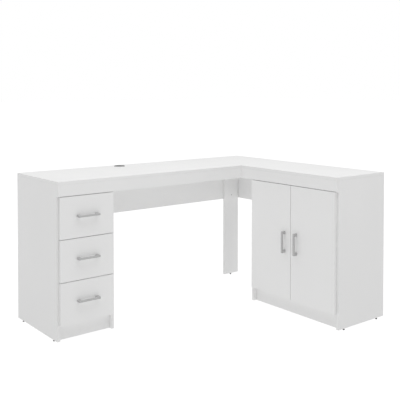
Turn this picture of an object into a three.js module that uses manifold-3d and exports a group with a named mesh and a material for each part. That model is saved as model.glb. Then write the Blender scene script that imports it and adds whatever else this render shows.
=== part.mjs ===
// L-shaped corner desk: a long wing with a three-drawer pedestal at its left end, and a return wing
// that ends in a two-door cupboard. Flat-pack boards on small glides, with bar handles.
//
// Millimetres, +Z up. The pieces are placed from the desk's own corner: x = 0 is the outer face of the
// pedestal, y = 0 the rear edge of the long wing, z = 0 the floor. The return wing runs towards -Y at the
// +X end, drawers open towards -Y and doors towards -X. The last lines centre the whole on x and y.

import * as THREE from 'three';
import { mergeVertices } from 'three/addons/utils/BufferGeometryUtils.js';
import Module from 'manifold-3d';

const wasm = await Module();
wasm.setup();

// ---------------------------------------------------------------- driving dimensions

// Overall
const deskHeight = 750;
const longWing = 1485;
const returnWing = 1137;
const longDepth = 452;
const returnDepth = 365;

// Boards
const boardThickness = 15;
const drawerBoard = 12;
const hardboard = 3;

// Tops, fascias and rear rails
const fasciaHeight = 54;
const railHeight = 250;
const railInset = 1;
const frontGap = 2.5;
const frontStandoff = 0.5;

// Corner leg
const legWidth = 111;
const legClearance = 2;

// Pedestal and cupboard carcasses. The cupboard starts a gap in front of the long wing and runs to the
// end of the return wing.
const pedestalWidth = 302;
const cupboardGap = 72;
const plinthHeight = 85;
const toeRecess = 20;
const backInset = 10;
const drawerCount = 3;
const drawerFrontInset = 9;
const doorInset = 12.5;
const shelfLevel = 392;
const shelfClearance = 1;
const shelfSetback = 20;

// Drawer boxes and runners
const runnerSpace = 12.5;
const runnerHeight = 24;
const runnerDepth = 10;
const runnerSheet = 1.5;
const boxRise = 25;
const boxHeadroom = 40;
const boxRearSpace = 75;
const boxLip = 10;
const grooveDepth = 6;
const grooveSlip = 0.3;

// Bar handles
const handleSpacing = 96;
const handlePost = 18;
const handleProjection = 24;
const handleBar = 8;
const handleWidth = 10;
const handleRound = 3;
const drawerHandleRise = 4;
const doorHandleInset = 40;

// Concealed hinges
const cupDiameter = 35;
const cupDepth = 12;
const cupInset = 22.5;
const cupSlip = 0.3;
const hingeFromEnd = 90;
const hingeLength = 60;
const hingeHeight = 20;
const hingeReach = 14;
const hingePlate = 4;
const hingePlateLength = 34;
const hingeTipGap = 2;

// Cable grommet
const grommetX = 565;
const grommetFromRear = 65;
const grommetFlange = 60;
const grommetRise = 4;
const grommetBarrel = 52;
const grommetWall = 2;
const grommetSlip = 0.3;
const grommetRim = 4;
const capDrop = 1.5;
const capThickness = 2;
const slotLength = 30;
const slotWidth = 12;
const slotOffset = 12;

// Foot glides
const footHeight = 9;
const footDiameter = 10;
const footInset = 48;

// ---------------------------------------------------------------- places that follow from them

const topUnderside = deskHeight - boardThickness;
const fasciaBottom = topUnderside - fasciaHeight;
const railBottom = topUnderside - railHeight;
const frontsTop = fasciaBottom - frontGap;
const carcassFloor = plinthHeight + boardThickness;
const cornerX = longWing - returnDepth;
const longPanelFront = -longDepth + boardThickness;
const returnPanelFront = cornerX + boardThickness;
const drawerBack = longPanelFront - frontStandoff;
const drawerFace = drawerBack - boardThickness;
const doorBack = returnPanelFront - frontStandoff;
const doorFace = doorBack - boardThickness;
const cupboardStart = -longDepth - cupboardGap;
const cupboardInside = [-returnWing + boardThickness, cupboardStart - boardThickness];
const pedestalInside = [boardThickness, pedestalWidth - boardThickness];
const railFace = -railInset - boardThickness;
const returnRailFace = longWing + railFace;

// ---------------------------------------------------------------- finishes

const finishes = {
  whiteBoard: { color: 0xf1f1f0, roughness: 0.45, metalness: 0 },
  hardboard: { color: 0xe6e5e2, roughness: 0.6, metalness: 0 },
  brushedMetal: { color: 0xa9a9a8, roughness: 0.35, metalness: 1 },
  zincSteel: { color: 0xb4b7ba, roughness: 0.35, metalness: 1 },
  whiteSteel: { color: 0xe4e4e2, roughness: 0.4, metalness: 0.2 },
  greyPlastic: { color: 0x8f8f8f, roughness: 0.5, metalness: 0 },
  darkPlastic: { color: 0x333333, roughness: 0.6, metalness: 0 },
};

const X = new THREE.Vector3(1, 0, 0);
const Y = new THREE.Vector3(0, 1, 0);
const Z = new THREE.Vector3(0, 0, 1);

const desk = new THREE.Group();

// Adds one named piece, with a material of its own, to the desk or to a group inside it.
function addPiece(name, finish, geometry, parent = desk) {
  const mesh = new THREE.Mesh(geometry, new THREE.MeshStandardMaterial(finishes[finish]));
  mesh.name = name;
  parent.add(mesh);
  return mesh;
}

// A box between its lowest and highest corners. Its faces take the given numbers as they are, so two
// pieces that touch share one plane to the last bit.
function box(low, high) {
  const geometry = new THREE.BoxGeometry(1, 1, 1);
  const corners = geometry.attributes.position;
  for (let corner = 0; corner < corners.count; corner += 1) {
    for (let axis = 0; axis < 3; axis += 1) {
      const onLowSide = corners.getComponent(corner, axis) < 0;
      corners.setComponent(corner, axis, onLowSide ? low[axis] : high[axis]);
    }
  }
  return geometry;
}

function board(name, finish, low, high, parent) {
  addPiece(name, finish, box(low, high), parent);
}

// An outline extruded from one level of its own z to another, which are taken as they are too.
function extrude(shape, start, end, curveSegments = 1) {
  const geometry = new THREE.ExtrudeGeometry(shape, { depth: 1, bevelEnabled: false, curveSegments });
  const corners = geometry.attributes.position;
  for (let corner = 0; corner < corners.count; corner += 1) {
    corners.setZ(corner, corners.getZ(corner) > 0 ? end : start);
  }
  return geometry;
}

function polygon(points) {
  return new THREE.Shape(points.map(([x, y]) => new THREE.Vector2(x, y)));
}

// Moves an outline to its place. With `side` -1 it is mirrored first.
function placed(points, x, y, side) {
  const moved = points.map(([across, up]) => [x + side * across, y + up]);
  return side > 0 ? moved : moved.reverse();
}

// A section in x and z that runs forwards from one y to another.
const sectionBasis = new THREE.Matrix4().makeBasis(X, Z, Y.clone().negate());

function channel(points, rear, front) {
  return extrude(polygon(points), -rear, -front).applyMatrix4(sectionBasis);
}

// ---------------------------------------------------------------- joins and cuts

function toSolid(geometry) {
  const bare = geometry.clone();
  bare.deleteAttribute('normal');
  bare.deleteAttribute('uv');
  const merged = mergeVertices(bare);
  return new wasm.Manifold(new wasm.Mesh({
    numProp: 3,
    vertProperties: new Float32Array(merged.attributes.position.array),
    triVerts: new Uint32Array(merged.index.array),
  }));
}

function toGeometry(solid) {
  const mesh = solid.getMesh();
  const geometry = new THREE.BufferGeometry();
  geometry.setAttribute('position', new THREE.BufferAttribute(mesh.vertProperties, 3));
  geometry.setIndex(new THREE.BufferAttribute(mesh.triVerts, 1));
  return geometry;
}

// ---------------------------------------------------------------- tops, fascias, rails and corner leg

// The long top has a round hole for the cable grommet.
function mainTop() {
  const outline = new THREE.Shape();
  outline.moveTo(0, -longDepth);
  outline.lineTo(longWing, -longDepth);
  outline.lineTo(longWing, 0);
  outline.lineTo(0, 0);
  const hole = new THREE.Path();
  hole.absarc(grommetX, -grommetFromRear, grommetBarrel / 2 + grommetSlip, 0, 2 * Math.PI, true);
  outline.holes.push(hole);
  addPiece('main_top', 'whiteBoard', extrude(outline, topUnderside, deskHeight, 32));
}

function topsAndRails() {
  mainTop();
  board(
    'return_top', 'whiteBoard',
    [cornerX, -returnWing, topUnderside], [longWing, -longDepth, deskHeight],
  );
  board(
    'main_fascia', 'whiteBoard',
    [0, -longDepth, fasciaBottom], [cornerX, longPanelFront, topUnderside],
  );
  board(
    'return_fascia', 'whiteBoard',
    [cornerX, -returnWing, fasciaBottom], [returnPanelFront, longPanelFront, topUnderside],
  );
  board(
    'main_rail', 'whiteBoard',
    [pedestalWidth, railFace, railBottom], [returnRailFace, -railInset, topUnderside],
  );
  board(
    'return_rail', 'whiteBoard',
    [returnRailFace, cupboardStart, railBottom], [longWing - railInset, -railInset, topUnderside],
  );
}

// The leg is an upright board screwed to the front of the long rail, next to the return rail.
const legRight = returnRailFace - legClearance;
const legLeft = legRight - legWidth;
const legFace = railFace - boardThickness;

function cornerLeg() {
  board('corner_leg', 'whiteBoard', [legLeft, legFace, footHeight], [legRight, railFace, topUnderside]);
}

// ---------------------------------------------------------------- cable grommet

// A flanged sleeve with a sunk cap, and a round-ended cable slot through the cap.
function grommet() {
  const flange = grommetFlange / 2;
  const barrel = grommetBarrel / 2;
  const bore = barrel - grommetWall;
  const capTop = grommetRise - capDrop;
  const profile = [
    [0, capTop],
    [flange - grommetRim, capTop],
    [flange - grommetRim, grommetRise],
    [flange - 1, grommetRise],
    [flange, grommetRise - 1],
    [flange, 0],
    [barrel, 0],
    [barrel, -boardThickness],
    [bore, -boardThickness],
    [bore, capTop - capThickness],
    [0, capTop - capThickness],
  ];
  const sleeve = new THREE.LatheGeometry(profile.reverse().map(([r, z]) => new THREE.Vector2(r, z)), 32);
  sleeve.rotateX(Math.PI / 2);

  const end = slotWidth / 2;
  const straight = slotLength / 2 - end;
  const slot = new THREE.Shape();
  slot.absarc(straight, slotOffset, end, -Math.PI / 2, Math.PI / 2, false);
  slot.absarc(-straight, slotOffset, end, Math.PI / 2, 1.5 * Math.PI, false);
  const cutter = extrude(slot, -grommetRise, grommetRise, 6);

  const ring = toGeometry(toSolid(sleeve).subtract(toSolid(cutter)));
  addPiece('cable_grommet', 'greyPlastic', ring).position.set(grommetX, -grommetFromRear, deskHeight);
}

// ---------------------------------------------------------------- carcasses

// Both carcasses are two uprights with a floor, a toe kick and a thin back between them.
function pedestal() {
  const [left, right] = pedestalInside;
  const kick = longPanelFront + toeRecess;
  board('pedestal_left_side', 'whiteBoard', [0, longPanelFront, footHeight], [left, 0, topUnderside]);
  board(
    'pedestal_right_side', 'whiteBoard',
    [right, longPanelFront, footHeight], [pedestalWidth, 0, topUnderside],
  );
  board(
    'pedestal_floor', 'whiteBoard',
    [left, longPanelFront, plinthHeight], [right, -backInset, carcassFloor],
  );
  board(
    'pedestal_back', 'hardboard',
    [left, -backInset - hardboard, carcassFloor], [right, -backInset, topUnderside],
  );
  board(
    'pedestal_toe_kick', 'whiteBoard',
    [left, kick, footHeight], [right, kick + boardThickness, plinthHeight],
  );
}

function cupboard() {
  const [near, far] = cupboardInside;
  const rear = longWing - backInset;
  const kick = returnPanelFront + toeRecess;
  board(
    'cupboard_side', 'whiteBoard',
    [returnPanelFront, far, footHeight], [longWing, cupboardStart, topUnderside],
  );
  board(
    'end_panel', 'whiteBoard',
    [returnPanelFront, -returnWing, footHeight], [longWing, near, topUnderside],
  );
  board('cupboard_floor', 'whiteBoard', [returnPanelFront, near, plinthHeight], [rear, far, carcassFloor]);
  board('cupboard_back', 'hardboard', [rear - hardboard, near, carcassFloor], [rear, far, topUnderside]);
  board(
    'cupboard_toe_kick', 'whiteBoard',
    [kick, near, footHeight], [kick + boardThickness, far, plinthHeight],
  );
  board(
    'cupboard_shelf', 'whiteBoard',
    [returnPanelFront + shelfSetback, near + shelfClearance, shelfLevel],
    [rear - hardboard - shelfClearance, far - shelfClearance, shelfLevel + boardThickness],
  );
}

// ---------------------------------------------------------------- bar handles

// A flat bar on two square posts. The outline is drawn along the bar and outwards from the front it is
// screwed to; the basis turns it to the drawer or the door.
const acrossDrawer = new THREE.Matrix4().makeBasis(X, Y.clone().negate(), Z.clone().negate());
const upDoor = new THREE.Matrix4().makeBasis(Z, X.clone().negate(), Y.clone().negate());

function handle(name, basis, foot, parent) {
  const half = (handleSpacing + handlePost) / 2;
  const inner = half - handlePost;
  const under = handleProjection - handleBar;
  const roundAt = handleProjection - handleRound;
  const outline = new THREE.Shape();
  outline.moveTo(half, 0);
  outline.absarc(half - handleRound, roundAt, handleRound, 0, Math.PI / 2, false);
  outline.absarc(handleRound - half, roundAt, handleRound, Math.PI / 2, Math.PI, false);
  outline.lineTo(-half, 0);
  outline.lineTo(-inner, 0);
  outline.lineTo(-inner, under);
  outline.lineTo(inner, under);
  outline.lineTo(inner, 0);
  const geometry = extrude(outline, -handleWidth / 2, handleWidth / 2, 4);
  addPiece(name, 'brushedMetal', geometry.applyMatrix4(basis).translate(...foot), parent);
}

// ---------------------------------------------------------------- drawers

// The outline of a drawer side, seen along the drawer: a board with a groove for the bottom in its
// inner face. x is measured from the outer face towards the inside of the drawer.
function drawerSideOutline(height) {
  const groove = [boxLip - grooveSlip, boxLip + hardboard + grooveSlip];
  return [
    [0, 0],
    [drawerBoard, 0],
    [drawerBoard, groove[0]],
    [drawerBoard - grooveDepth, groove[0]],
    [drawerBoard - grooveDepth, groove[1]],
    [drawerBoard, groove[1]],
    [drawerBoard, height],
    [0, height],
  ];
}

// The section of a runner: an open steel channel with its back on the pedestal.
const runnerSection = [
  [0, 0],
  [runnerDepth, 0],
  [runnerDepth, runnerSheet],
  [runnerSheet, runnerSheet],
  [runnerSheet, runnerHeight - runnerSheet],
  [runnerDepth, runnerHeight - runnerSheet],
  [runnerDepth, runnerHeight],
  [0, runnerHeight],
];

// One drawer, in a group whose origin is level with the bottom edge of its front.
function drawer(number, frontHeight, level) {
  const group = new THREE.Group();
  group.position.z = level;
  desk.add(group);
  const name = (piece) => `drawer_${number}_${piece}`;

  board(
    name('front'), 'whiteBoard',
    [drawerFrontInset, drawerFace, 0], [pedestalWidth - drawerFrontInset, drawerBack, frontHeight], group,
  );

  const boxHeight = frontHeight - boxRise - boxHeadroom;
  const boxEnd = -boxRearSpace - backInset - hardboard;
  const left = pedestalInside[0] + runnerSpace;
  const right = pedestalInside[1] - runnerSpace;
  for (const [side, outerFace, mirror] of [['left', left, 1], ['right', right, -1]]) {
    const outline = placed(drawerSideOutline(boxHeight), outerFace, boxRise, mirror);
    addPiece(name(`${side}_side`), 'whiteBoard', channel(outline, boxEnd, drawerBack), group);
  }

  const bottomLevel = boxRise + boxLip;
  const reach = drawerBoard - grooveDepth + grooveSlip;
  board(
    name('bottom'), 'hardboard',
    [left + reach, drawerBack, bottomLevel], [right - reach, boxEnd, bottomLevel + hardboard], group,
  );
  board(
    name('back'), 'whiteBoard',
    [left + drawerBoard, boxEnd - drawerBoard, bottomLevel + hardboard],
    [right - drawerBoard, boxEnd, boxRise + boxHeight], group,
  );
  const handleLevel = frontHeight / 2 + drawerHandleRise;
  handle(name('handle'), acrossDrawer, [pedestalWidth / 2, drawerFace, handleLevel], group);

  // The cabinet halves of the runners stay with the pedestal, on its inner faces.
  for (const [side, wall, mirror] of [['left', pedestalInside[0], 1], ['right', pedestalInside[1], -1]]) {
    const outline = placed(runnerSection, wall, level + boxRise, mirror);
    addPiece(`runner_${number}_${side}`, 'whiteSteel', channel(outline, boxEnd, drawerBack));
  }
}

function drawers() {
  const zone = frontsTop - plinthHeight;
  const frontHeight = (zone - frontGap * (drawerCount - 1)) / drawerCount;
  for (let number = 1; number <= drawerCount; number += 1) {
    const below = drawerCount - number;
    drawer(number, frontHeight, plinthHeight + below * (frontHeight + frontGap));
  }
}

// ---------------------------------------------------------------- doors and their hinges

const hingeLevels = { upper: frontsTop - hingeFromEnd, lower: plinthHeight + hingeFromEnd };

// A hinge arm on its mounting plate, against an upright's inner face. `inwards` is +1 or -1 along Y,
// from that face into the cupboard.
function hinge(name, wall, inwards, level) {
  const tip = doorBack + hingeTipGap;
  const end = tip + hingeLength;
  const plateStart = end - hingePlateLength;
  const profile = [
    [tip, hingePlate],
    [plateStart, hingePlate],
    [plateStart, 0],
    [end, 0],
    [end, hingeReach - hingePlate],
    [plateStart, hingeReach],
    [tip, hingeReach],
  ];
  const plan = profile.map(([x, y]) => [x, wall + inwards * y]);
  const outline = polygon(inwards > 0 ? plan : plan.reverse());
  addPiece(name, 'zincSteel', extrude(outline, level - hingeHeight / 2, level + hingeHeight / 2));
}

// One door. Its outer edge is on the hinge side; two blind bores in its back take the hinge cups.
function door(name, outerEdge, inwards) {
  const [near, far] = cupboardInside;
  const opening = [-returnWing + doorInset, cupboardStart - doorInset];
  const width = (opening[1] - opening[0] - frontGap) / 2;
  const innerEdge = outerEdge + inwards * width;
  const low = [doorFace, Math.min(outerEdge, innerEdge), plinthHeight];
  const high = [doorBack, Math.max(outerEdge, innerEdge), frontsTop];

  let solid = toSolid(box(low, high));
  const boreRadius = cupDiameter / 2 + cupSlip;
  for (const level of Object.values(hingeLevels)) {
    const bore = new THREE.CylinderGeometry(boreRadius, boreRadius, 2 * cupDepth, 32);
    bore.rotateZ(Math.PI / 2).translate(doorBack, outerEdge + inwards * cupInset, level);
    solid = solid.subtract(toSolid(bore));
  }
  addPiece(name, 'whiteBoard', toGeometry(solid));

  const handleY = innerEdge - inwards * doorHandleInset;
  handle(`${name}_handle`, upDoor, [doorFace, handleY, (plinthHeight + frontsTop) / 2]);

  const wall = inwards > 0 ? near : far;
  for (const [place, level] of Object.entries(hingeLevels)) {
    hinge(`${name}_hinge_${place}`, wall, inwards, level);
  }
}

function doors() {
  door('left_door', cupboardStart - doorInset, -1);
  door('right_door', -returnWing + doorInset, 1);
}

// ---------------------------------------------------------------- foot glides

function foot(name, x, y) {
  const radius = footDiameter / 2;
  const profile = [[0, 0], [radius - 1, 0], [radius, 1], [radius, footHeight], [0, footHeight]];
  const geometry = new THREE.LatheGeometry(profile.map(([r, z]) => new THREE.Vector2(r, z)), 24);
  geometry.rotateX(Math.PI / 2);
  addPiece(name, 'darkPlastic', geometry).position.set(x, y, 0);
}

function feet() {
  const middle = boardThickness / 2;
  const uprights = { pedestal_left: middle, pedestal_right: pedestalWidth - middle };
  for (const [upright, x] of Object.entries(uprights)) {
    foot(`foot_${upright}_front`, x, longPanelFront + footInset);
    foot(`foot_${upright}_rear`, x, -footInset);
  }
  const ends = { cupboard_side: cupboardStart - middle, end_panel: -returnWing + middle };
  for (const [upright, y] of Object.entries(ends)) {
    foot(`foot_${upright}_front`, returnPanelFront + footInset, y);
    foot(`foot_${upright}_rear`, longWing - footInset, y);
  }
  foot('foot_corner_leg', (legLeft + legRight) / 2, (legFace + railFace) / 2);
}

// ---------------------------------------------------------------- the whole desk

topsAndRails();
cornerLeg();
grommet();
pedestal();
cupboard();
drawers();
doors();
feet();

desk.position.set(-longWing / 2, returnWing / 2, 0);

export default desk;
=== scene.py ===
"""Looks of the L-shaped corner desk: laminate boards, bar handles, hinges, runners and small fittings.

Metres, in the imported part's own frame: +X to the right, -Y towards the drawers' user, +Z up.
"""

import math

import bmesh
import bpy
from mathutils import Matrix, Vector


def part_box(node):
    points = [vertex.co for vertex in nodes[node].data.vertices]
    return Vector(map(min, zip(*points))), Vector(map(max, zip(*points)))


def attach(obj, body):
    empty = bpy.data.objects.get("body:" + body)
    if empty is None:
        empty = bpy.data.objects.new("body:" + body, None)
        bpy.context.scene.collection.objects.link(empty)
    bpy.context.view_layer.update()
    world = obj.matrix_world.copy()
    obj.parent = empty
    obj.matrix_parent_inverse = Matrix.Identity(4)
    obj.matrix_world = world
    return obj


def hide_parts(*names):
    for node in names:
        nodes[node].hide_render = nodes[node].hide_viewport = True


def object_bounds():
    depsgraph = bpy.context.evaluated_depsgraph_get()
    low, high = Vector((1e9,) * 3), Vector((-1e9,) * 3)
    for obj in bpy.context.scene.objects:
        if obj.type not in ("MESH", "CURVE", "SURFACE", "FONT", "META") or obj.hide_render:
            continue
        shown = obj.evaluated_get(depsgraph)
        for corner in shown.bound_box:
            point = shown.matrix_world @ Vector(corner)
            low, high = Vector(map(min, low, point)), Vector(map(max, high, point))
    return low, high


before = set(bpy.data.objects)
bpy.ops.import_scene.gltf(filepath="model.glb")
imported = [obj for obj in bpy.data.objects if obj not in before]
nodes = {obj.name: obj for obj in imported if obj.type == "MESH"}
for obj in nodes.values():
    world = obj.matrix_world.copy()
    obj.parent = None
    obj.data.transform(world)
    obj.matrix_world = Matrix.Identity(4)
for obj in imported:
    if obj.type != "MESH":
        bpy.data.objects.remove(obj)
cad_low, cad_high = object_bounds()

X, Y, Z = Vector((1, 0, 0)), Vector((0, 1, 0)), Vector((0, 0, 1))
MM = 0.001
WHITE = (1.0, 1.0, 1.0, 1.0)


# ---------------------------------------------------------------- camera and studio

REAR_CORNER = Vector((cad_low.x, cad_high.y, 0.0))   # under the long wing's rear left corner
CAMERA_FROM_CORNER = Vector((-1.4049, -3.2699, 1.1683))
CAMERA_YAW = 38.34       # degrees from +Y towards +X
CAMERA_PITCH = 1.52      # degrees below the horizon
CAMERA_LENS = 61.11      # mm on a 36 mm sensor
CAMERA_SHIFT = (0.0004, -0.229)

WORLD_LIGHT = 0.455
LAMP_WATTS = 132.0
LAMP_SIZE = 5.0
LAMP_PLACE = (-0.1, -0.4, 4.5)
FLOOR_COLOUR = 0.18
FLOOR_GLOW = 0.92             # what the camera sees near the desk
FLOOR_LIGHT = 0.88            # the share of that glow that lights the desk from below
FLOOR_NEAR = 1.5              # the floor brightens from here to pure white, in metres from the desk
FLOOR_FAR = 4.5
FLOOR_REACH = 60.0


def make_camera():
    data = bpy.data.cameras.new("camera")
    data.lens = CAMERA_LENS
    data.sensor_width = 36.0
    data.shift_x, data.shift_y = CAMERA_SHIFT
    data.clip_end = 100.0
    camera = bpy.data.objects.new("camera", data)
    camera.location = REAR_CORNER + CAMERA_FROM_CORNER
    camera.rotation_euler = (math.radians(90 - CAMERA_PITCH), 0.0, math.radians(-CAMERA_YAW))
    bpy.context.scene.collection.objects.link(camera)
    bpy.context.scene.camera = camera


def make_world():
    """An even white studio. The camera sees pure white; the desk gets slightly less light from it."""
    bpy.context.scene.view_settings.view_transform = "Standard"
    world = bpy.data.worlds.new("studio")
    bpy.context.scene.world = world
    world.use_nodes = True
    tree = world.node_tree
    tree.nodes.clear()
    output = tree.nodes.new("ShaderNodeOutputWorld")
    light = tree.nodes.new("ShaderNodeBackground")
    light.inputs["Color"].default_value = WHITE
    light.inputs["Strength"].default_value = WORLD_LIGHT
    seen = tree.nodes.new("ShaderNodeBackground")
    seen.inputs["Color"].default_value = WHITE
    seen.inputs["Strength"].default_value = 1.0
    path = tree.nodes.new("ShaderNodeLightPath")
    mix = tree.nodes.new("ShaderNodeMixShader")
    tree.links.new(path.outputs["Is Camera Ray"], mix.inputs["Fac"])
    tree.links.new(light.outputs[0], mix.inputs[1])
    tree.links.new(seen.outputs[0], mix.inputs[2])
    tree.links.new(mix.outputs[0], output.inputs["Surface"])


def make_lamp():
    lamp = bpy.data.lights.new("soft_top", "AREA")
    lamp.shape = "DISK"
    lamp.size = LAMP_SIZE
    lamp.energy = LAMP_WATTS
    top = bpy.data.objects.new("soft_top", lamp)
    top.location = LAMP_PLACE
    bpy.context.scene.collection.objects.link(top)


def make_floor():
    mesh = bpy.data.meshes.new("floor")
    reach = FLOOR_REACH
    corners = [(-reach, -reach, 0), (reach, -reach, 0), (reach, reach, 0), (-reach, reach, 0)]
    mesh.from_pydata(corners, [], [(0, 1, 2, 3)])
    floor = bpy.data.objects.new("floor", mesh)
    bpy.context.scene.collection.objects.link(floor)
    floor.data.materials.append(floor_material())


# ---------------------------------------------------------------- materials

class Graph:
    """A material's node tree, built one node at a time."""

    def __init__(self, name):
        self.material = bpy.data.materials.new(name)
        self.material.use_nodes = True
        self.tree = self.material.node_tree
        self.shader = self.tree.nodes["Principled BSDF"]

    def add(self, kind, links=None, values=None, **settings):
        node = self.tree.nodes.new("ShaderNode" + kind)
        for key, value in settings.items():
            setattr(node, key, value)
        for key, value in (values or {}).items():
            node.inputs[key].default_value = value
        for key, source in (links or {}).items():
            self.tree.links.new(source, node.inputs[key])
        return node

    def set(self, **values):
        for key, value in values.items():
            self.shader.inputs[key.replace("_", " ")].default_value = value

    def link(self, source, socket):
        self.tree.links.new(source, self.shader.inputs[socket])

    def place(self, scale=(1, 1, 1)):
        """Object coordinates, in metres times a scale per axis."""
        coordinates = self.add("TexCoord")
        mapping = self.add("Mapping", {"Vector": coordinates.outputs["Object"]}, {"Scale": scale})
        return mapping.outputs["Vector"]

    def noise(self, vector, scale, detail=3.0, roughness=0.5):
        values = {"Scale": scale, "Detail": detail, "Roughness": roughness}
        return self.add("TexNoise", {"Vector": vector}, values).outputs["Fac"]

    def remap(self, source, low, high, from_low=0.0, from_high=1.0):
        values = {"From Min": from_low, "From Max": from_high, "To Min": low, "To Max": high}
        return self.add("MapRange", {"Value": source}, values).outputs["Result"]

    def math(self, operation, first, second):
        node = self.add("Math", operation=operation)
        for index, value in enumerate((first, second)):
            if isinstance(value, (int, float)):
                node.inputs[index].default_value = value
            else:
                self.tree.links.new(value, node.inputs[index])
        return node.outputs["Value"]

    def blend(self, factor, first, second):
        """A colour between two greys or colours."""
        node = self.add("Mix", {"Factor": factor}, data_type="RGBA")
        for name, value in (("A", first), ("B", second)):
            socket = [item for item in node.inputs if item.name == name and item.type == "RGBA"][0]
            if hasattr(value, "is_output"):
                self.tree.links.new(value, socket)
            else:
                socket.default_value = colour(value)
        return [item for item in node.outputs if item.type == "RGBA"][0]

    def paint(self, pattern, first, second, low=0.3, high=0.7):
        """Base colour between two; the pattern's range from `low` to `high` covers the whole way."""
        factor = self.remap(pattern, 0.0, 1.0, low, high)
        self.link(self.blend(factor, first, second), "Base Color")

    def bump(self, height, distance, strength=1.0, under=None):
        links = {"Height": height}
        if under is not None:
            links["Normal"] = under
        node = self.add("Bump", links, {"Distance": distance, "Strength": strength})
        return node.outputs["Normal"]


def colour(value):
    """An RGBA colour from a grey level or from three numbers."""
    if isinstance(value, (int, float)):
        return (value, value, value, 1.0)
    return (*value, 1.0)


# Base colours
LAMINATE = (0.885, 0.885, 0.883)
LAMINATE_SHADE = (0.872, 0.872, 0.870)
EDGE_BAND = (0.87, 0.87, 0.867)
BAND_JOINT = (0.60, 0.59, 0.575)
HARDBOARD_LIGHT = (0.79, 0.785, 0.77)
HARDBOARD_DARK = (0.72, 0.71, 0.69)
EPOXY_LIGHT = (0.77, 0.77, 0.76)
EPOXY_DARK = (0.70, 0.70, 0.69)

BAND_THICKNESS = 0.45 * MM
JOINT_WIDTH = 0.12 * MM
AXIS_NAMES = "XYZ"


def band_masks(graph, thin_axis, thickness):
    """Two masks: the board's narrow edges, and the fine joint line where a banding meets the face."""
    coordinates = graph.add("TexCoord")
    normal = graph.add("SeparateXYZ", {"Vector": coordinates.outputs["Normal"]})
    across = graph.math("ABSOLUTE", normal.outputs[AXIS_NAMES[thin_axis]], 0.0)
    edge = graph.remap(across, 1.0, 0.0, 0.35, 0.65)
    generated = graph.add("SeparateXYZ", {"Vector": coordinates.outputs["Generated"]})
    offset = graph.math("SUBTRACT", generated.outputs[AXIS_NAMES[thin_axis]], 0.5)
    from_middle = graph.math("ABSOLUTE", offset, 0.0)
    joint_at = 0.5 - BAND_THICKNESS / thickness
    from_joint = graph.math("ABSOLUTE", graph.math("SUBTRACT", from_middle, joint_at), 0.0)
    line = graph.remap(from_joint, 1.0, 0.0, 0.0, JOINT_WIDTH / thickness)
    return edge, graph.math("MULTIPLY", line, edge)


def laminate(name, thin_axis, thickness):
    """White melamine-faced board with a banded edge: satin, with a very fine orange peel."""
    graph = Graph(name)
    place = graph.place()
    cloud = graph.noise(place, 2.5, 2.0)
    face = graph.blend(graph.remap(cloud, 0.0, 1.0, 0.35, 0.65), LAMINATE, LAMINATE_SHADE)
    edge, joint = band_masks(graph, thin_axis, thickness)
    banded = graph.blend(edge, face, EDGE_BAND)
    graph.link(graph.blend(joint, banded, BAND_JOINT), "Base Color")
    smudge = graph.remap(graph.noise(place, 14.0, 4.0), 0.36, 0.50)
    graph.link(graph.math("ADD", smudge, graph.math("MULTIPLY", edge, -0.08)), "Roughness")
    peel = graph.bump(graph.noise(place, 900.0, 2.0), 0.03 * MM, 0.5)
    ripple = graph.bump(graph.noise(place, 35.0, 2.0), 0.10 * MM, 0.35, peel)
    graph.link(ripple, "Normal")
    graph.set(Specular_IOR_Level=0.4)
    return graph.material


def hardboard():
    """Thin board with a matt white paint over felted fibres."""
    graph = Graph("painted_hardboard")
    place = graph.place()
    fibres = graph.noise(graph.place((1.0, 1.0, 0.25)), 420.0, 5.0, 0.7)
    mottle = graph.noise(place, 22.0, 4.0)
    tone = graph.math("ADD", graph.math("MULTIPLY", fibres, 0.7), graph.math("MULTIPLY", mottle, 0.3))
    graph.paint(tone, HARDBOARD_LIGHT, HARDBOARD_DARK, 0.35, 0.65)
    graph.link(graph.remap(fibres, 0.52, 0.72), "Roughness")
    graph.link(graph.bump(fibres, 0.08 * MM, 0.5), "Normal")
    return graph.material


def brushed_metal(name, tone, along):
    """Satin lacquer over brushed metal; the fine scratches run along one axis."""
    graph = Graph(name)
    stretch = [1.0, 1.0, 1.0]
    stretch[along] = 0.02
    streaks = graph.noise(graph.place(tuple(stretch)), 2600.0, 4.0, 0.6)
    broad = graph.noise(graph.place(), 90.0, 3.0)
    graph.paint(streaks, tone * 1.05, tone * 0.93)
    wear = graph.math("ADD", graph.remap(streaks, -0.06, 0.06), graph.remap(broad, -0.04, 0.04))
    graph.link(graph.math("ADD", wear, 0.44), "Roughness")
    graph.link(graph.bump(streaks, 0.012 * MM, 0.6), "Normal")
    graph.set(Metallic=0.3)
    return graph.material


def plated_steel(name, tone, roughness=0.28):
    """Nickel or zinc plating on a pressed part: soft mottling and fine pitting."""
    graph = Graph(name)
    place = graph.place()
    mottle = graph.noise(place, 160.0, 5.0, 0.6)
    graph.paint(mottle, (tone, tone, tone * 1.02), tone * 0.86)
    graph.link(graph.remap(mottle, roughness - 0.07, roughness + 0.1), "Roughness")
    graph.link(graph.bump(graph.noise(place, 1500.0, 3.0), 0.01 * MM, 0.5), "Normal")
    graph.set(Metallic=1.0)
    return graph.material


def epoxy_coat():
    """White powder coat on steel sheet: a slight orange peel, with rubbed streaks along the runner."""
    graph = Graph("white_epoxy")
    place = graph.place()
    peel = graph.noise(place, 480.0, 3.0)
    rubbed = graph.noise(graph.place((1.0, 0.06, 1.0)), 120.0, 3.0)
    graph.paint(rubbed, EPOXY_LIGHT, EPOXY_DARK, 0.45, 0.75)
    graph.link(graph.remap(rubbed, 0.42, 0.30), "Roughness")
    graph.link(graph.bump(peel, 0.05 * MM, 0.5), "Normal")
    return graph.material


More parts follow.
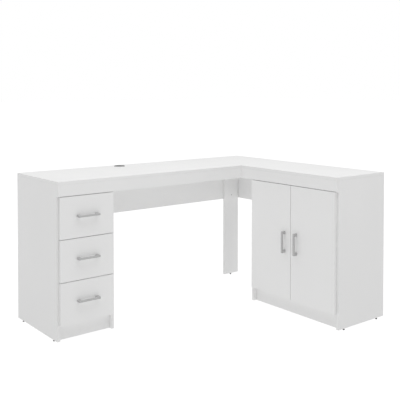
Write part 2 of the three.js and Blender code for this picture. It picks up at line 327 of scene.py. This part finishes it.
def moulded_plastic(name, tone, roughness=0.5):
    """Moulded plastic with a fine spark-eroded grain and a little uneven sheen."""
    graph = Graph(name)
    place = graph.place()
    texture = graph.noise(place, 1400.0, 2.0, 0.6)
    drift = graph.noise(place, 60.0, 3.0)
    graph.paint(drift, tone * 1.06, tone * 0.92)
    graph.link(graph.remap(drift, roughness - 0.06, roughness + 0.08), "Roughness")
    graph.link(graph.bump(texture, 0.06 * MM, 0.5), "Normal")
    return graph.material


def floor_material():
    """A pale seamless floor that melts into the background and keeps faint contact shadows."""
    graph = Graph("studio_floor")
    drift = graph.noise(graph.place(), 1.5, 2.0)
    graph.link(graph.blend(drift, FLOOR_COLOUR, FLOOR_COLOUR - 0.01), "Base Color")
    distance = graph.add("VectorMath", {"Vector": graph.place()}, operation="LENGTH").outputs["Value"]
    glow = graph.remap(distance, FLOOR_GLOW, 1.0, FLOOR_NEAR, FLOOR_FAR)
    seen = graph.remap(graph.add("LightPath").outputs["Is Camera Ray"], FLOOR_LIGHT, 1.0)
    graph.link(graph.math("MULTIPLY", glow, seen), "Emission Strength")
    graph.set(Roughness=0.9, Emission_Color=WHITE, Specular_IOR_Level=0.1)
    return graph.material


# ---------------------------------------------------------------- CAD boards

BOARD = 15 * MM
DRAWER_BOARD = 12 * MM
EDGE_SOFTNESS = 0.4 * MM
SHARP_ANGLE = math.radians(40)
WELD_DISTANCE = 0.01 * MM


def soften(obj, width):
    """Rounds a CAD piece's hard edges slightly with modifiers; its mesh stays as it is."""
    for name in ("custom_normal", "sharp_edge", "sharp_face"):
        attribute = obj.data.attributes.get(name)
        if attribute is not None:
            obj.data.attributes.remove(attribute)
    obj.data.shade_smooth()
    weld = obj.modifiers.new("weld", "WELD")
    weld.merge_threshold = WELD_DISTANCE
    add_bevel(obj, width)


def add_bevel(obj, width, segments=2):
    bevel = obj.modifiers.new("edges", "BEVEL")
    bevel.width = width
    bevel.segments = segments
    bevel.limit_method = "ANGLE"
    bevel.angle_limit = SHARP_ANGLE
    bevel.harden_normals = True


def thin_axis_of(node):
    low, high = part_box(node)
    size = high - low
    return min(range(3), key=lambda axis: size[axis])


def dress(obj, material):
    obj.data.materials.clear()
    obj.data.materials.append(material)


def dress_nodes(epoxy):
    """Materials and soft edges for the CAD's own pieces."""
    boards = [laminate(f"laminate_{AXIS_NAMES[axis].lower()}", axis, BOARD) for axis in range(3)]
    drawer_boards = [laminate(f"drawer_laminate_{AXIS_NAMES[axis].lower()}", axis, DRAWER_BOARD)
                     for axis in range(2)]
    painted = hardboard()
    for name, obj in nodes.items():
        if name.endswith("_bottom") or name in ("pedestal_back", "cupboard_back"):
            dress(obj, painted)
        elif name.startswith("runner"):
            dress(obj, epoxy)
        elif name.startswith("drawer") and name.endswith(("_side", "_back")):
            dress(obj, drawer_boards[thin_axis_of(name)])
        else:
            dress(obj, boards[thin_axis_of(name)])
        narrow = name.startswith("runner") or name.endswith("_bottom")
        soften(obj, EDGE_SOFTNESS / 2 if narrow else EDGE_SOFTNESS)


# ---------------------------------------------------------------- mesh building

SAME_PLACE = 0.001 * MM      # vertices closer than this become one


def new_object(name, mesh, body, material):
    obj = bpy.data.objects.new(name, mesh)
    bpy.context.scene.collection.objects.link(obj)
    mesh.shade_smooth()
    mesh.materials.append(material)
    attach(obj, body)
    return obj


def frame_matrix(origin, across, up):
    """Places a piece drawn in its own x, y, z: x goes along `across`, y along `up`, z out of the two."""
    out = across.cross(up)
    matrix = Matrix((across, up, out)).transposed().to_4x4()
    matrix.translation = origin
    return matrix


def facing(origin, across, outwards):
    """Places a piece whose z points `outwards` and whose x goes along `across`."""
    return frame_matrix(origin, across, outwards.cross(across))


def finish_mesh(name, builder, matrix):
    """Closes a bmesh into a mesh with outward normals, in the desk's own frame."""
    bmesh.ops.remove_doubles(builder, verts=builder.verts, dist=SAME_PLACE)
    bmesh.ops.recalc_face_normals(builder, faces=builder.faces)
    builder.transform(matrix)
    mesh = bpy.data.meshes.new(name)
    builder.to_mesh(mesh)
    builder.free()
    return mesh


def arc(centre, radius, start, end, steps):
    """Points on an arc, angles in degrees."""
    points = []
    for step in range(steps + 1):
        angle = math.radians(start + (end - start) * step / steps)
        points.append((centre[0] + radius * math.cos(angle), centre[1] + radius * math.sin(angle)))
    return points


def mirrored(points):
    """A closed outline from its upper half, drawn from one end to the other."""
    return points + [(x, -y) for x, y in reversed(points)]


def extrude_into(builder, outline, low, high):
    """Adds an outline in x and y, extruded from one z to another."""
    bottom = [builder.verts.new((x, y, low)) for x, y in outline]
    top = [builder.verts.new((x, y, high)) for x, y in outline]
    count = len(outline)
    builder.faces.new(bottom[::-1])
    builder.faces.new(top)
    for index in range(count):
        after = (index + 1) % count
        builder.faces.new((bottom[index], bottom[after], top[after], top[index]))


def extruded(name, outline, low, high, place):
    """The mesh of one extruded outline."""
    builder = bmesh.new()
    extrude_into(builder, outline, low, high)
    return finish_mesh(name, builder, place)


def revolved(name, profile, steps, place):
    """The mesh of a round piece. Its profile of (radius, height) ends on the axis, or closes on itself."""
    builder = bmesh.new()
    rings = []
    for radius, height in profile:
        if radius < SAME_PLACE:
            rings.append([builder.verts.new((0.0, 0.0, height))])
            continue
        circle = arc((0.0, 0.0), radius, 0, 360, steps)[:-1]
        rings.append([builder.verts.new((x, y, height)) for x, y in circle])
    for lower, upper in zip(rings, rings[1:]):
        for step in range(steps):
            after = (step + 1) % steps
            corners = [lower[step % len(lower)], lower[after % len(lower)],
                       upper[after % len(upper)], upper[step % len(upper)]]
            unique = list(dict.fromkeys(corners))
            if len(unique) > 2:
                builder.faces.new(unique)
    return finish_mesh(name, builder, place)


def combine(obj, tool_mesh, operation="DIFFERENCE"):
    """Cuts a closed mesh out of a piece, or joins it on, and applies the result."""
    tool = bpy.data.objects.new("tool", tool_mesh)
    bpy.context.scene.collection.objects.link(tool)
    boolean = obj.modifiers.new("combine", "BOOLEAN")
    boolean.object = tool
    boolean.operation = operation
    boolean.solver = "EXACT"
    bpy.context.view_layer.update()
    graph = bpy.context.evaluated_depsgraph_get()
    result = bpy.data.meshes.new_from_object(obj.evaluated_get(graph))
    obj.modifiers.clear()
    obj.data = result
    obj.data.shade_smooth()
    bpy.data.objects.remove(tool)
    bpy.data.meshes.remove(tool_mesh)


# ---------------------------------------------------------------- screws

# A screw of scale 1, in millimetres: the head as (radius, height) and the cross in it
SCREW_HEAD = [(0.0, 0.0), (4.2, 0.0), (4.2, 0.5), (3.9, 1.2), (3.0, 1.9), (1.6, 2.2), (0.0, 2.2)]
SCREW_RECESS = 1.0
CROSS_REACH = 1.9
CROSS_HALF_WIDTH = 0.4
SCREW_SEGMENTS = 24


def cross_outline(reach, half):
    """A cross, drawn one arm at a time."""
    points = []
    for cosine, sine in ((1, 0), (0, 1), (-1, 0), (0, -1)):
        for x, y in ((reach, -half), (reach, half), (half, half)):
            points.append((x * cosine - y * sine, x * sine + y * cosine))
    return points


def pan_head(name, body, origin, outwards, material, scale=1.0, sunk=0.0):
    """A pan-head screw with a cross recess. `sunk` is how far its foot lies below the surface."""
    unit = scale * MM
    profile = [(radius * unit, height * unit - sunk) for radius, height in SCREW_HEAD]
    crown = profile[-1][1]
    place = facing(origin, outwards.orthogonal().normalized(), outwards)
    screw = new_object(name, revolved(name, profile, SCREW_SEGMENTS, place), body, material)
    cross = cross_outline(CROSS_REACH * unit, CROSS_HALF_WIDTH * unit)
    combine(screw, extruded("cross", cross, crown - SCREW_RECESS * unit, crown + 1 * MM, place))
    add_bevel(screw, 0.15 * MM)


# ---------------------------------------------------------------- bar handles

HANDLE_BAR = 8 * MM
HANDLE_POST = 18 * MM         # at the root, where it meets the front
HANDLE_WAIST = 15 * MM        # where it meets the bar
HANDLE_ROUND = 3 * MM
HANDLE_FILLET = 4 * MM
HANDLE_EDGE = 1.8 * MM
HANDLE_TONE = 0.52


def handle_outline(length, projection):
    """The bar and its two posts, seen from the side: x along the bar, y out from the front."""
    half = length / 2
    root = half - HANDLE_POST
    inner = half - HANDLE_WAIST
    under = projection - HANDLE_BAR
    top = projection - HANDLE_ROUND
    fillet = HANDLE_FILLET
    points = [(half, 0.0)]
    points += arc((half - HANDLE_ROUND, top), HANDLE_ROUND, 0, 90, 6)
    points += arc((HANDLE_ROUND - half, top), HANDLE_ROUND, 90, 180, 6)
    points += [(-half, 0.0), (-root, 0.0)]
    points += arc((fillet - inner, under - fillet), fillet, 180, 90, 6)
    points += arc((inner - fillet, under - fillet), fillet, 90, 0, 6)
    points += [(root, 0.0)]
    return points


def handle(node, front, body, across, outwards, ends, metal, steel):
    """A cast bar handle in place of the plain CAD one, and the two screws behind the front."""
    low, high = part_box(node)
    size = high - low
    length = abs(size.dot(across))
    projection = abs(size.dot(outwards))
    width = abs(size.dot(across.cross(outwards)))
    root = (low + high) / 2 - outwards * (projection / 2)
    place = frame_matrix(root, across, outwards)
    mesh = extruded(node + "_bar", handle_outline(length, projection), -width / 2, width / 2, place)
    bar = new_object(node + "_bar", mesh, body, metal)
    add_bevel(bar, HANDLE_EDGE, 4)
    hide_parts(node)

    # Fronts face -X or -Y, so the high corner of a front's box lies on its back.
    inwards = -outwards
    behind = (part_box(front)[1] - root).dot(inwards)
    reach = (length - HANDLE_POST) / 2
    for end, side in zip(ends, (-1, 1)):
        origin = root + across * (side * reach) + inwards * behind
        pan_head(f"{node}_screw_{end}", body, origin, inwards, steel)


def make_handles():
    steel = plated_steel("zinc_screw", 0.62)
    metal_x = brushed_metal("handle_metal_x", HANDLE_TONE, 0)
    metal_z = brushed_metal("handle_metal_z", HANDLE_TONE, 2)
    for number in (1, 2, 3):
        drawer = f"drawer_{number}"
        handle(f"{drawer}_handle", f"{drawer}_front", drawer, X, -Y, ("left", "right"), metal_x, steel)
    for side in ("left", "right"):
        door = f"{side}_door"
        handle(f"{door}_handle", door, f"door_{side}", Z, -X, ("lower", "upper"), metal_z, steel)


# ---------------------------------------------------------------- cable grommet

GROMMET_RIM = 4 * MM
GROMMET_WALL = 2 * MM
GROMMET_BARREL = 26 * MM     # radius
GROMMET_ROUNDING = [(0.0, 0.9), (0.25, 2.2), (1.1, 3.5)]   # mm, in from the flange's edge and up
CAP_SINK = 1.5 * MM
CAP_THICKNESS = 2 * MM
CAP_GAP = 0.25 * MM
CAP_GROOVE = (3 * MM, 4.6 * MM)   # outer and inner edge, from the cap's rim
CAP_CHAMFER = 0.4 * MM
SLOT_HALF = 9 * MM           # from the slot's middle to the centre of each round end
SLOT_ROUND = 6 * MM
SLOT_OFFSET = 12 * MM
GROMMET_SEGMENTS = 64


def ring_profile(flange, mouth, rise, ledge, depth):
    """A barrel through the worktop, a rounded flange on it and a ledge inside for the cap."""
    bore = GROMMET_BARREL - GROMMET_WALL
    profile = [(bore, -depth), (GROMMET_BARREL, -depth), (GROMMET_BARREL, 0.0), (flange, 0.0)]
    profile += [(flange - inwards * MM, height * MM) for inwards, height in GROMMET_ROUNDING]
    profile += [(flange - 2.2 * MM, rise), (mouth + 0.5 * MM, rise), (mouth, rise - 0.5 * MM)]
    profile += [(mouth, ledge), (bore, ledge), (bore, -depth)]
    return profile


def cap_profile(radius, ledge, top):
    """A disc with a chamfered rim and a shallow groove inside it."""
    chamfer = CAP_CHAMFER
    outer = radius - CAP_GROOVE[0]
    inner = radius - CAP_GROOVE[1]
    profile = [(0.0, ledge), (radius, ledge), (radius, top - chamfer), (radius - chamfer, top)]
    profile += [(outer, top), (outer - chamfer, top - chamfer), (inner + chamfer, top - chamfer)]
    profile += [(inner, top), (0.0, top)]
    return profile


def make_grommet():
    """A flanged ring with a darker sunken cap; the cable slot is towards the rear of the cap."""
    low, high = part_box("cable_grommet")
    centre = (low + high) / 2
    flange = (high.x - low.x) / 2
    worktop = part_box("main_top")[1].z
    rise = high.z - worktop
    mouth = flange - GROMMET_RIM
    ledge = rise - CAP_SINK - CAP_THICKNESS
    place = Matrix.Translation((centre.x, centre.y, worktop))

    profile = ring_profile(flange, mouth, rise, ledge, worktop - low.z)
    mesh = revolved("grommet_ring", profile, GROMMET_SEGMENTS, place)
    plastic = moulded_plastic("grommet_ring_plastic", 0.40)
    ring = new_object("grommet_ring", mesh, "desk_frame", plastic)
    add_bevel(ring, 0.15 * MM)
    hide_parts("cable_grommet")

    profile = cap_profile(mouth - CAP_GAP, ledge, rise - CAP_SINK)
    mesh = revolved("grommet_cap", profile, GROMMET_SEGMENTS, place)
    plastic = moulded_plastic("grommet_cap_plastic", 0.20, 0.55)
    cap = new_object("grommet_cap", mesh, "desk_frame", plastic)
    slot = arc((SLOT_HALF, SLOT_OFFSET), SLOT_ROUND, -90, 90, 10)
    slot += arc((-SLOT_HALF, SLOT_OFFSET), SLOT_ROUND, 90, 270, 10)
    combine(cap, extruded("slot", slot, -5 * MM, rise + 5 * MM, place))
    add_bevel(cap, 0.12 * MM)


# ---------------------------------------------------------------- glides

GLIDE_SEGMENTS = 32
THREAD_PITCH = 0.9 * MM
THREAD_START = 3.5 * MM
COLLAR = 0.8 * MM


def glide_profile(radius, height):
    """A rounded foot, a threaded stem and a collar under the board."""
    stem = 0.72 * radius
    root = 0.86 * stem
    profile = [(0.0, 0.0), (0.7 * radius, 0.0), (0.9 * radius, 0.3 * MM), (radius, 1.1 * MM)]
    profile += [(radius, 2.6 * MM), (0.92 * radius, 3.1 * MM), (stem, 3.3 * MM)]
    level = THREAD_START
    while level + THREAD_PITCH < height - THREAD_PITCH:
        profile += [(stem, level), (root, level + THREAD_PITCH / 2)]
        level += THREAD_PITCH
    profile += [(stem, level), (radius, height - COLLAR), (radius, height), (0.0, height)]
    return profile


def make_glides():
    plastic = moulded_plastic("glide_plastic", 0.045, 0.55)
    for name in sorted(nodes):
        if not name.startswith("foot_"):
            continue
        low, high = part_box(name)
        centre = (low + high) / 2
        profile = glide_profile((high.x - low.x) / 2, high.z - low.z)
        place = Matrix.Translation((centre.x, centre.y, low.z))
        mesh = revolved(name + "_glide", profile, GLIDE_SEGMENTS, place)
        glide = new_object(name + "_glide", mesh, "desk_frame", plastic)
        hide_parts(name)


# ---------------------------------------------------------------- concealed hinges

HINGE_PLATE = 34 * MM        # length of the mounting plate
PLATE_SHEET = 2.2 * MM
ARM_SHEET = 1.2 * MM
ARM_DROP = 5.5 * MM          # from the CAD hinge's full reach down to the arm's underside
FIXING_FROM_EDGE = 3.4 * MM
CUP_RADIUS = 17.5 * MM
CUP_DEPTH = 11.5 * MM
CUP_INSET = 22.5 * MM
CUP_WALL = 1 * MM
CUP_FLANGE = 1 * MM
CUP_SEGMENTS = 48
EAR_CENTRE = 23 * MM         # from the cup's centre to each flange screw
EAR_HALF_WIDTH = 6.4 * MM


def hinge_arm_shapes(length, height, reach):
    """The hinge's solids as (outline, low, high): x along the arm, y up, z from the wall."""
    wing = height / 2
    waist = 0.32 * height
    nose = 0.40 * height
    half = 0.27 * height
    under = reach - ARM_DROP
    plate_start = length - HINGE_PLATE
    plate = [(plate_start, waist), (plate_start + 9 * MM, waist), (plate_start + 11 * MM, wing),
             (plate_start + 23 * MM, wing), (plate_start + 25 * MM, waist), (length, waist)]
    flank = [(0.0, nose), (12 * MM, nose), (20 * MM, half), (length - 2 * MM, half)]
    saddle = [(plate_start + 6 * MM, half - 1.6 * MM), (length - 5 * MM, half - 1.6 * MM)]
    shapes = [
        (mirrored(plate), 0.0, PLATE_SHEET),
        (mirrored(saddle), PLATE_SHEET / 2, under + ARM_SHEET / 2),
        (mirrored(flank + [(length, half / 2)]), under, under + ARM_SHEET),
    ]
    for side in (-1, 1):
        outer = [(x, side * y) for x, y in flank]
        inner = [(x, side * (y - ARM_SHEET)) for x, y in reversed(flank)]
        shapes.append((outer + inner, PLATE_SHEET + ARM_SHEET, under + ARM_SHEET / 2))
    return shapes


def hinge_arm(node, wall, inwards, material, screw_material):
    """The arm and mounting plate on the cupboard's upright, in place of the plain CAD block."""
    low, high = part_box(node)
    middle = (low.z + high.z) / 2
    length = high.x - low.x
    height = high.z - low.z
    reach = high.y - low.y
    name = node + "_arm"
    place = frame_matrix(Vector((low.x, wall, middle)), X, Z * -inwards)
    meshes = [extruded(name, *shape, place) for shape in hinge_arm_shapes(length, height, reach)]
    piece = new_object(name, meshes[0], "desk_frame", material)
    for mesh in meshes[1:]:
        combine(piece, mesh, "UNION")
    add_bevel(piece, 0.3 * MM)
    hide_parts(node)

    fixing = length - HINGE_PLATE / 2
    fixing_up = height / 2 - FIXING_FROM_EDGE
    face = reach - ARM_DROP + ARM_SHEET
    heads = [("fixing_lower", fixing, -fixing_up, PLATE_SHEET, 0.62),
             ("fixing_upper", fixing, fixing_up, PLATE_SHEET, 0.62),
             ("depth_screw", length - 8 * MM, 0.0, face, 0.85),
             ("side_screw", length - HINGE_PLATE + 4 * MM, 0.0, face, 0.75)]
    for label, along, up, rise, scale in heads:
        spot = Vector((low.x + along, wall + inwards * rise, middle + up))
        pan_head(f"{node}_{label}", "desk_frame", spot, Y * inwards, screw_material, scale)


def cup_profile():
    """A pressed cup with a rounded bottom edge and a low rolled rim."""
    rim = CUP_RADIUS + 1 * MM
    inner = CUP_RADIUS - CUP_WALL
    bore = inner - 0.4 * MM
    profile = [(0.0, -CUP_DEPTH), (CUP_RADIUS - 1.5 * MM, -CUP_DEPTH), (CUP_RADIUS, 1.5 * MM - CUP_DEPTH)]
    profile += [(CUP_RADIUS, 0.0), (rim, 0.0), (rim, 0.6 * CUP_FLANGE), (rim - 0.6 * MM, CUP_FLANGE)]
    profile += [(inner, CUP_FLANGE), (bore, 0.4 * MM), (bore, 1.6 * MM - CUP_DEPTH)]
    profile += [(bore - 1.2 * MM, CUP_WALL - CUP_DEPTH), (0.0, CUP_WALL - CUP_DEPTH)]
    return profile


def ear_outline():
    """The right-hand ear of the cup's flange, with a round end."""
    neck = EAR_CENTRE - 2.5 * MM
    points = [(0.93 * CUP_RADIUS, -EAR_HALF_WIDTH), (neck, -EAR_HALF_WIDTH)]
    points += arc((EAR_CENTRE, 0.0), 6 * MM, -70, 70, 8)
    points += [(neck, EAR_HALF_WIDTH), (0.93 * CUP_RADIUS, EAR_HALF_WIDTH)]
    return points


def hinge_cup(name, body, door, level, inwards, outer_edge, material, screw_material):
    """The cup let into the door's bore, with its flange and two screws."""
    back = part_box(door)[1].x
    centre = Vector((back, outer_edge + inwards * CUP_INSET, level))
    place = facing(centre, Z, X)
    mesh = revolved(name, cup_profile(), CUP_SEGMENTS, place)
    cup = new_object(name, mesh, body, material)
    add_bevel(cup, 0.15 * MM)

    flange_top = 0.8 * CUP_FLANGE
    builder = bmesh.new()
    for side in (-1, 1):
        extrude_into(builder, [(side * x, y) for x, y in ear_outline()], 0.02 * MM, flange_top)
    mesh = finish_mesh(name + "_flange", builder, place)
    flange = new_object(name + "_flange", mesh, body, material)
    add_bevel(flange, 0.2 * MM)
    for label, side in (("lower", -1), ("upper", 1)):
        spot = centre + Z * (side * EAR_CENTRE) + X * flange_top
        pan_head(f"{name}_screw_{label}", body, spot, X, screw_material, 0.7, 0.7 * MM)


def make_hinges():
    nickel = plated_steel("nickel_plate", 0.66)
    screw = plated_steel("hinge_screw", 0.58, 0.3)
    walls = {"left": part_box("cupboard_side")[0].y, "right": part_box("end_panel")[1].y}
    for side, inwards in (("left", -1), ("right", 1)):
        body = f"door_{side}"
        door = f"{side}_door"
        low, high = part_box(door)
        outer_edge = high.y if inwards < 0 else low.y
        for place in ("upper", "lower"):
            node = f"{door}_hinge_{place}"
            node_low, node_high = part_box(node)
            level = (node_low.z + node_high.z) / 2
            hinge_arm(node, walls[side], inwards, nickel, screw)
            hinge_cup(f"{door}_cup_{place}", body, door, level, inwards, outer_edge, nickel, screw)


# ---------------------------------------------------------------- drawer runners and small fittings

ROLLER_RADIUS = 9.5 * MM
ROLLER_WIDTH = 5.5 * MM
ROLLER_GAP = 1.4 * MM        # from the drawer member to the roller
ROLLER_SEGMENTS = 40
MEMBER_SHEET = 1.2 * MM
MEMBER_HEIGHT = 16 * MM
CHANNEL_SHEET = 1.5 * MM


def roller_profile():
    """A roller with a hub, a shallow web and chamfered edges."""
    radius = ROLLER_RADIUS
    near = ROLLER_GAP
    far = ROLLER_GAP + ROLLER_WIDTH
    web = near + 0.6 * MM
    profile = [(0.0, near), (0.45 * radius, near), (0.5 * radius, web), (0.82 * radius, web)]
    profile += [(0.9 * radius, near), (radius, near + 0.5 * MM), (radius, far - 0.5 * MM)]
    profile += [(0.95 * radius, far), (0.0, far)]
    return profile


def drawer_member(number, side, epoxy, nylon, steel):
    """The drawer's half of a runner: a flat strip on its side, with a roller at the rear in the channel."""
    body = f"drawer_{number}"
    low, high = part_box(f"{body}_{side}_side")
    rail_low, rail_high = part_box(f"runner_{number}_{side}")
    inwards = 1 if side == "left" else -1
    outer = low.x if inwards > 0 else high.x
    rear, front = high.y, low.y

    name = f"{body}_member_{side}"
    strip = [(0.0, 0.0), (-MEMBER_SHEET, 0.0), (-MEMBER_SHEET, MEMBER_HEIGHT), (0.0, MEMBER_HEIGHT)]
    place = frame_matrix(Vector((outer, front, low.z + 1 * MM)), X * inwards, Z)
    run = (rear - front - 2 * MM) * -inwards
    member = new_object(name, extruded(name, strip, 0.0, run, place), body, epoxy)
    add_bevel(member, 0.3 * MM)

    name = f"{body}_roller_{side}"
    outwards = X * -inwards
    face = outer - inwards * MEMBER_SHEET
    axle = Vector((face, rear - 16 * MM, (rail_low.z + rail_high.z) / 2))
    mesh = revolved(name, roller_profile(), ROLLER_SEGMENTS, facing(axle, Y, outwards))
    roller = new_object(name, mesh, body, nylon)
    add_bevel(roller, 0.2 * MM)
    for label, share in (("front", 0.12), ("middle", 0.5), ("rear", 0.82)):
        name = f"{body}_member_{side}_screw_{label}"
        spot = Vector((face, front + (rear - front) * share, low.z + 9 * MM))
        pan_head(name, body, spot, outwards, steel, 0.55, 0.3 * MM)


def channel_screws(number, side, steel):
    """The screws that hold a runner's channel to the pedestal."""
    runner = f"runner_{number}_{side}"
    low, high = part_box(runner)
    inwards = 1 if side == "left" else -1
    face = (low.x if inwards > 0 else high.x) + inwards * CHANNEL_SHEET
    for label, share in (("front", 0.1), ("middle", 0.45), ("rear", 0.9)):
        spot = Vector((face, low.y + (high.y - low.y) * share, (low.z + high.z) / 2))
        name = f"{runner}_screw_{label}"
        pan_head(name, "desk_frame", spot, X * inwards, steel, 0.75)


def make_runners(epoxy):
    nylon = moulded_plastic("roller_nylon", 0.62, 0.4)
    steel = plated_steel("runner_screw", 0.6)
    for number in (1, 2, 3):
        for side in ("left", "right"):
            drawer_member(number, side, epoxy, nylon, steel)
            channel_screws(number, side, steel)


PIN_RADIUS = 2.5 * MM
PIN_COLLAR = 3.6 * MM
PIN_LENGTH = 8.8 * MM
PIN_INSET = 45 * MM          # from the shelf's front and rear edges
PIN_SEGMENTS = 28


def make_shelf_pins():
    """Four plated pins under the cupboard shelf, two in each upright."""
    steel = plated_steel("shelf_pin_steel", 0.66)
    low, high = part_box("cupboard_shelf")
    profile = [(0.0, 0.0), (PIN_COLLAR, 0.0), (PIN_COLLAR, 1.0 * MM), (PIN_RADIUS, 1.4 * MM)]
    profile += [(PIN_RADIUS, PIN_LENGTH - 0.6 * MM), (PIN_RADIUS - 0.6 * MM, PIN_LENGTH), (0.0, PIN_LENGTH)]
    for side, wall, outwards in (("far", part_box("cupboard_side")[0].y, -Y),
                                 ("near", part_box("end_panel")[1].y, Y)):
        for label, x in (("front", low.x + PIN_INSET), ("rear", high.x - PIN_INSET)):
            name = f"shelf_pin_{side}_{label}"
            spot = Vector((x, wall, low.z - PIN_COLLAR - 0.1 * MM))
            mesh = revolved(name, profile, PIN_SEGMENTS, facing(spot, X, outwards))
            pin = new_object(name, mesh, "desk_frame", steel)
            add_bevel(pin, 0.1 * MM)


LEG_SCREW_RIGHT = 54 * MM     # from the corner leg's right edge
LEG_SCREW_LEVEL = 506.5 * MM


def make_leg_screw():
    """The screw through the corner leg into the long rail."""
    steel = plated_steel("leg_screw_steel", 0.5, 0.35)
    low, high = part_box("corner_leg")
    spot = Vector((high.x - LEG_SCREW_RIGHT, low.y, LEG_SCREW_LEVEL))
    pan_head("corner_leg_screw", "desk_frame", spot, -Y, steel, 0.9, 0.5 * MM)


# ---------------------------------------------------------------- the whole scene

make_camera()
make_world()
make_lamp()
make_floor()
runner_coat = epoxy_coat()
dress_nodes(runner_coat)
make_handles()
make_grommet()
make_glides()
make_hinges()
make_runners(runner_coat)
make_shelf_pins()
make_leg_screw()
